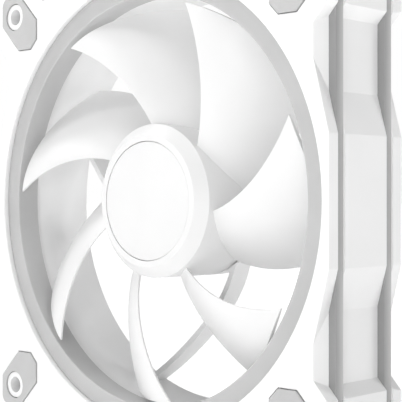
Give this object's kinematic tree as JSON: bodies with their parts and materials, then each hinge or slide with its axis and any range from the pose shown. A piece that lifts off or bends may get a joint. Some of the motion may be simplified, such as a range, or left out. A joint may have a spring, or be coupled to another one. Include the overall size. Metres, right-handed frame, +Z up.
{
  "type": "case fan",
  "caption": "Square computer case fan with a swept-blade rotor, light rings behind both faces and rubber corner pads.",
  "frame": {"origin": "middle of the square frame, on the rotor's axis, halfway between the two pad faces", "axes": "rotor axis along Y with the open intake face towards -Y, X to the right seen from the intake, Z up"},
  "size_m": [0.12, 0.0288, 0.12],
  "materials": {
    "white_plastic": "satin moulded",
    "white_rotor": "satin moulded",
    "cap_plastic": "satin moulded",
    "diffuser": "frosted, translucent",
    "pad_rubber": "matte",
    "circuit_board": "white solder mask",
    "led": "clear",
    "nylon": "natural",
    "bronze": "sintered",
    "core_steel": "laminated",
    "yoke_steel": "drawn",
    "magnet": "bonded ferrite",
    "shaft_steel": "ground",
    "copper": "enamelled",
    "chip": "moulded",
    "label": "blank foil"
  },
  "bodies": {
    "frame": {"front_plate": "white_plastic", "rear_plate": "white_plastic", "front_pad_1": "pad_rubber", "front_pad_2": "pad_rubber", "front_pad_3": "pad_rubber", "front_pad_4": "pad_rubber", "rear_pad_1": "pad_rubber", "rear_pad_2": "pad_rubber", "rear_pad_3": "pad_rubber", "rear_pad_4": "pad_rubber", "front_diffuser": "diffuser", "rear_diffuser": "diffuser", "front_led_board": "circuit_board", "rear_led_board": "circuit_board", "front_leds": "led", "rear_leds": "led", "frame_body": "white_plastic", "cable_grommet": "pad_rubber", "oil_seal": "nylon", "bearing_sleeve": "bronze", "thrust_pad": "nylon", "bearing_cap": "nylon", "stator_core": "core_steel", "front_insulator": "nylon", "rear_insulator": "nylon", "coil_1": "copper", "coil_2": "copper", "coil_3": "copper", "coil_4": "copper", "motor_board": "circuit_board", "driver_chip": "chip", "hall_sensor": "chip", "rear_label": "label"},
    "rotor": {"impeller": "white_rotor", "hub_cap": "cap_plastic", "rotor_yoke": "yoke_steel", "rotor_magnet": "magnet", "rotor_shaft": "shaft_steel", "retaining_clip": "nylon"}
  },
  "joints": [
    {"name": "rotor_spin", "type": "hinge", "parent": "frame", "child": "rotor", "pos_m": [0, 0, 0], "axis": [0, -1, 0], "continuous": true}
  ]
}
